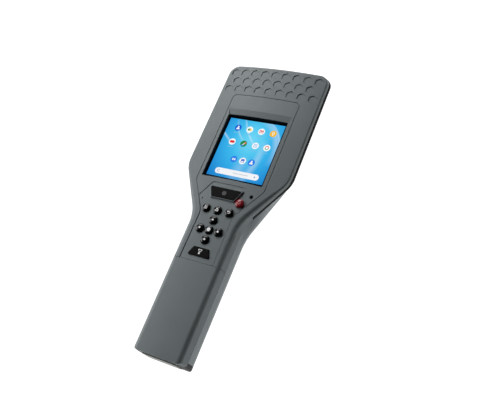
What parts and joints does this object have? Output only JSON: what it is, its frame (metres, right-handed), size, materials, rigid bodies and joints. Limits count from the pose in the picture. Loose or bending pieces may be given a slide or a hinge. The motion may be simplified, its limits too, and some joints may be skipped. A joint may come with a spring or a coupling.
{
  "type": "handheld data collector",
  "caption": "Paddle-shaped handheld data collector with a touch screen in a wide head, a keypad in the neck and a battery handle with a sliding cover.",
  "frame": {"origin": "middle of the footprint, on the flat back", "axes": "+X to the instrument's right, +Y from the handle towards the head, +Z out of the screen"},
  "size_m": [0.1056, 0.2844, 0.0284],
  "materials": {
    "shell_grey": "fine moulded texture",
    "bumper_rubber": "ribbed, matt",
    "seal_rubber": "matt silicone",
    "gasket_black": "matt",
    "cap_black": "satin",
    "door_plate": "satin",
    "screen_glass": "lit screen under glass",
    "display_black": "matt",
    "sheet_steel": "plain sheet",
    "circuit_board": "solder mask",
    "foam_grey": "closed-cell foam",
    "battery_wrap": "shrink wrap",
    "contact_gold": "plated",
    "lamp_yellow": "phosphor",
    "clear_lens": "clear",
    "screw_steel": "blackened",
    "key_black": "high gloss",
    "key_red": "high gloss"
  },
  "bodies": {
    "housing": {"front_shell": "shell_grey", "rear_shell": "shell_grey", "fascia_panel": "shell_grey", "side_bumper": "bumper_rubber", "shell_seal": "seal_rubber", "display_gasket": "gasket_black", "end_cap": "cap_black", "display_glass": "screen_glass", "display_module": "display_black", "display_bracket": "sheet_steel", "keypad_membrane": "seal_rubber", "keypad_board": "circuit_board", "dome_switches": "sheet_steel", "main_board": "circuit_board", "shield_cans": "sheet_steel", "reader_antenna": "circuit_board", "antenna_spacer": "foam_grey", "battery_pack": "battery_wrap", "contact_block": "display_black", "spring_contacts": "contact_gold", "port_board": "circuit_board", "usb_socket": "sheet_steel", "speaker": "display_black", "torch_board": "circuit_board", "torch_lamp": "lamp_yellow", "torch_lens": "clear_lens", "microphone": "sheet_steel", "light_sensor": "display_black", "vibration_motor": "sheet_steel", "shell_screws": "screw_steel", "door_pin": "screw_steel"},
    "scan_key": {"scan_key": "key_black"},
    "torch_key": {"torch_key": "key_black"},
    "power_key": {"power_key": "key_red"},
    "menu_key": {"menu_key": "key_black"},
    "home_key": {"home_key": "key_black"},
    "back_key": {"back_key": "key_black"},
    "up_key": {"up_key": "key_black"},
    "down_key": {"down_key": "key_black"},
    "left_key": {"left_key": "key_black"},
    "right_key": {"right_key": "key_black"},
    "select_key": {"select_key": "key_black"},
    "battery_cover": {"battery_cover": "shell_grey"},
    "end_door": {"end_door": "door_plate"}
  },
  "joints": [
    {"name": "scan_key_press", "type": "slide", "parent": "housing", "child": "scan_key", "axis": [0, 0, -1], "range_m": [0, 0.00045], "stiffness_N_per_m": 1500, "springref_m": -0.0003},
    {"name": "torch_key_press", "type": "slide", "parent": "housing", "child": "torch_key", "axis": [0, 0, -1], "range_m": [0, 0.00045], "stiffness_N_per_m": 1500, "springref_m": -0.0003},
    {"name": "power_key_press", "type": "slide", "parent": "housing", "child": "power_key", "axis": [0, 0, -1], "range_m": [0, 0.00045], "stiffness_N_per_m": 1500, "springref_m": -0.0003},
    {"name": "menu_key_press", "type": "slide", "parent": "housing", "child": "menu_key", "axis": [0, 0, -1], "range_m": [0, 0.00045], "stiffness_N_per_m": 1500, "springref_m": -0.0003},
    {"name": "home_key_press", "type": "slide", "parent": "housing", "child": "home_key", "axis": [0, 0, -1], "range_m": [0, 0.00045], "stiffness_N_per_m": 1500, "springref_m": -0.0003},
    {"name": "back_key_press", "type": "slide", "parent": "housing", "child": "back_key", "axis": [0, 0, -1], "range_m": [0, 0.00045], "stiffness_N_per_m": 1500, "springref_m": -0.0003},
    {"name": "up_key_press", "type": "slide", "parent": "housing", "child": "up_key", "axis": [0, 0, -1], "range_m": [0, 0.00045], "stiffness_N_per_m": 1500, "springref_m": -0.0003},
    {"name": "down_key_press", "type": "slide", "parent": "housing", "child": "down_key", "axis": [0, 0, -1], "range_m": [0, 0.00045], "stiffness_N_per_m": 1500, "springref_m": -0.0003},
    {"name": "left_key_press", "type": "slide", "parent": "housing", "child": "left_key", "axis": [0, 0, -1], "range_m": [0, 0.00045], "stiffness_N_per_m": 1500, "springref_m": -0.0003},
    {"name": "right_key_press", "type": "slide", "parent": "housing", "child": "right_key", "axis": [0, 0, -1], "range_m": [0, 0.00045], "stiffness_N_per_m": 1500, "springref_m": -0.0003},
    {"name": "select_key_press", "type": "slide", "parent": "housing", "child": "select_key", "axis": [0, 0, -1], "range_m": [0, 0.00045], "stiffness_N_per_m": 1500, "springref_m": -0.0003},
    {"name": "battery_cover_slide", "type": "slide", "parent": "housing", "child": "battery_cover", "axis": [0, -1, 0], "range_m": [0, 0.085]},
    {"name": "end_door_hinge", "type": "hinge", "parent": "housing", "child": "end_door", "pos_m": [0, -0.1409, 0.0052], "axis": [1, 0, 0], "range_deg": [0, 95]}
  ]
}
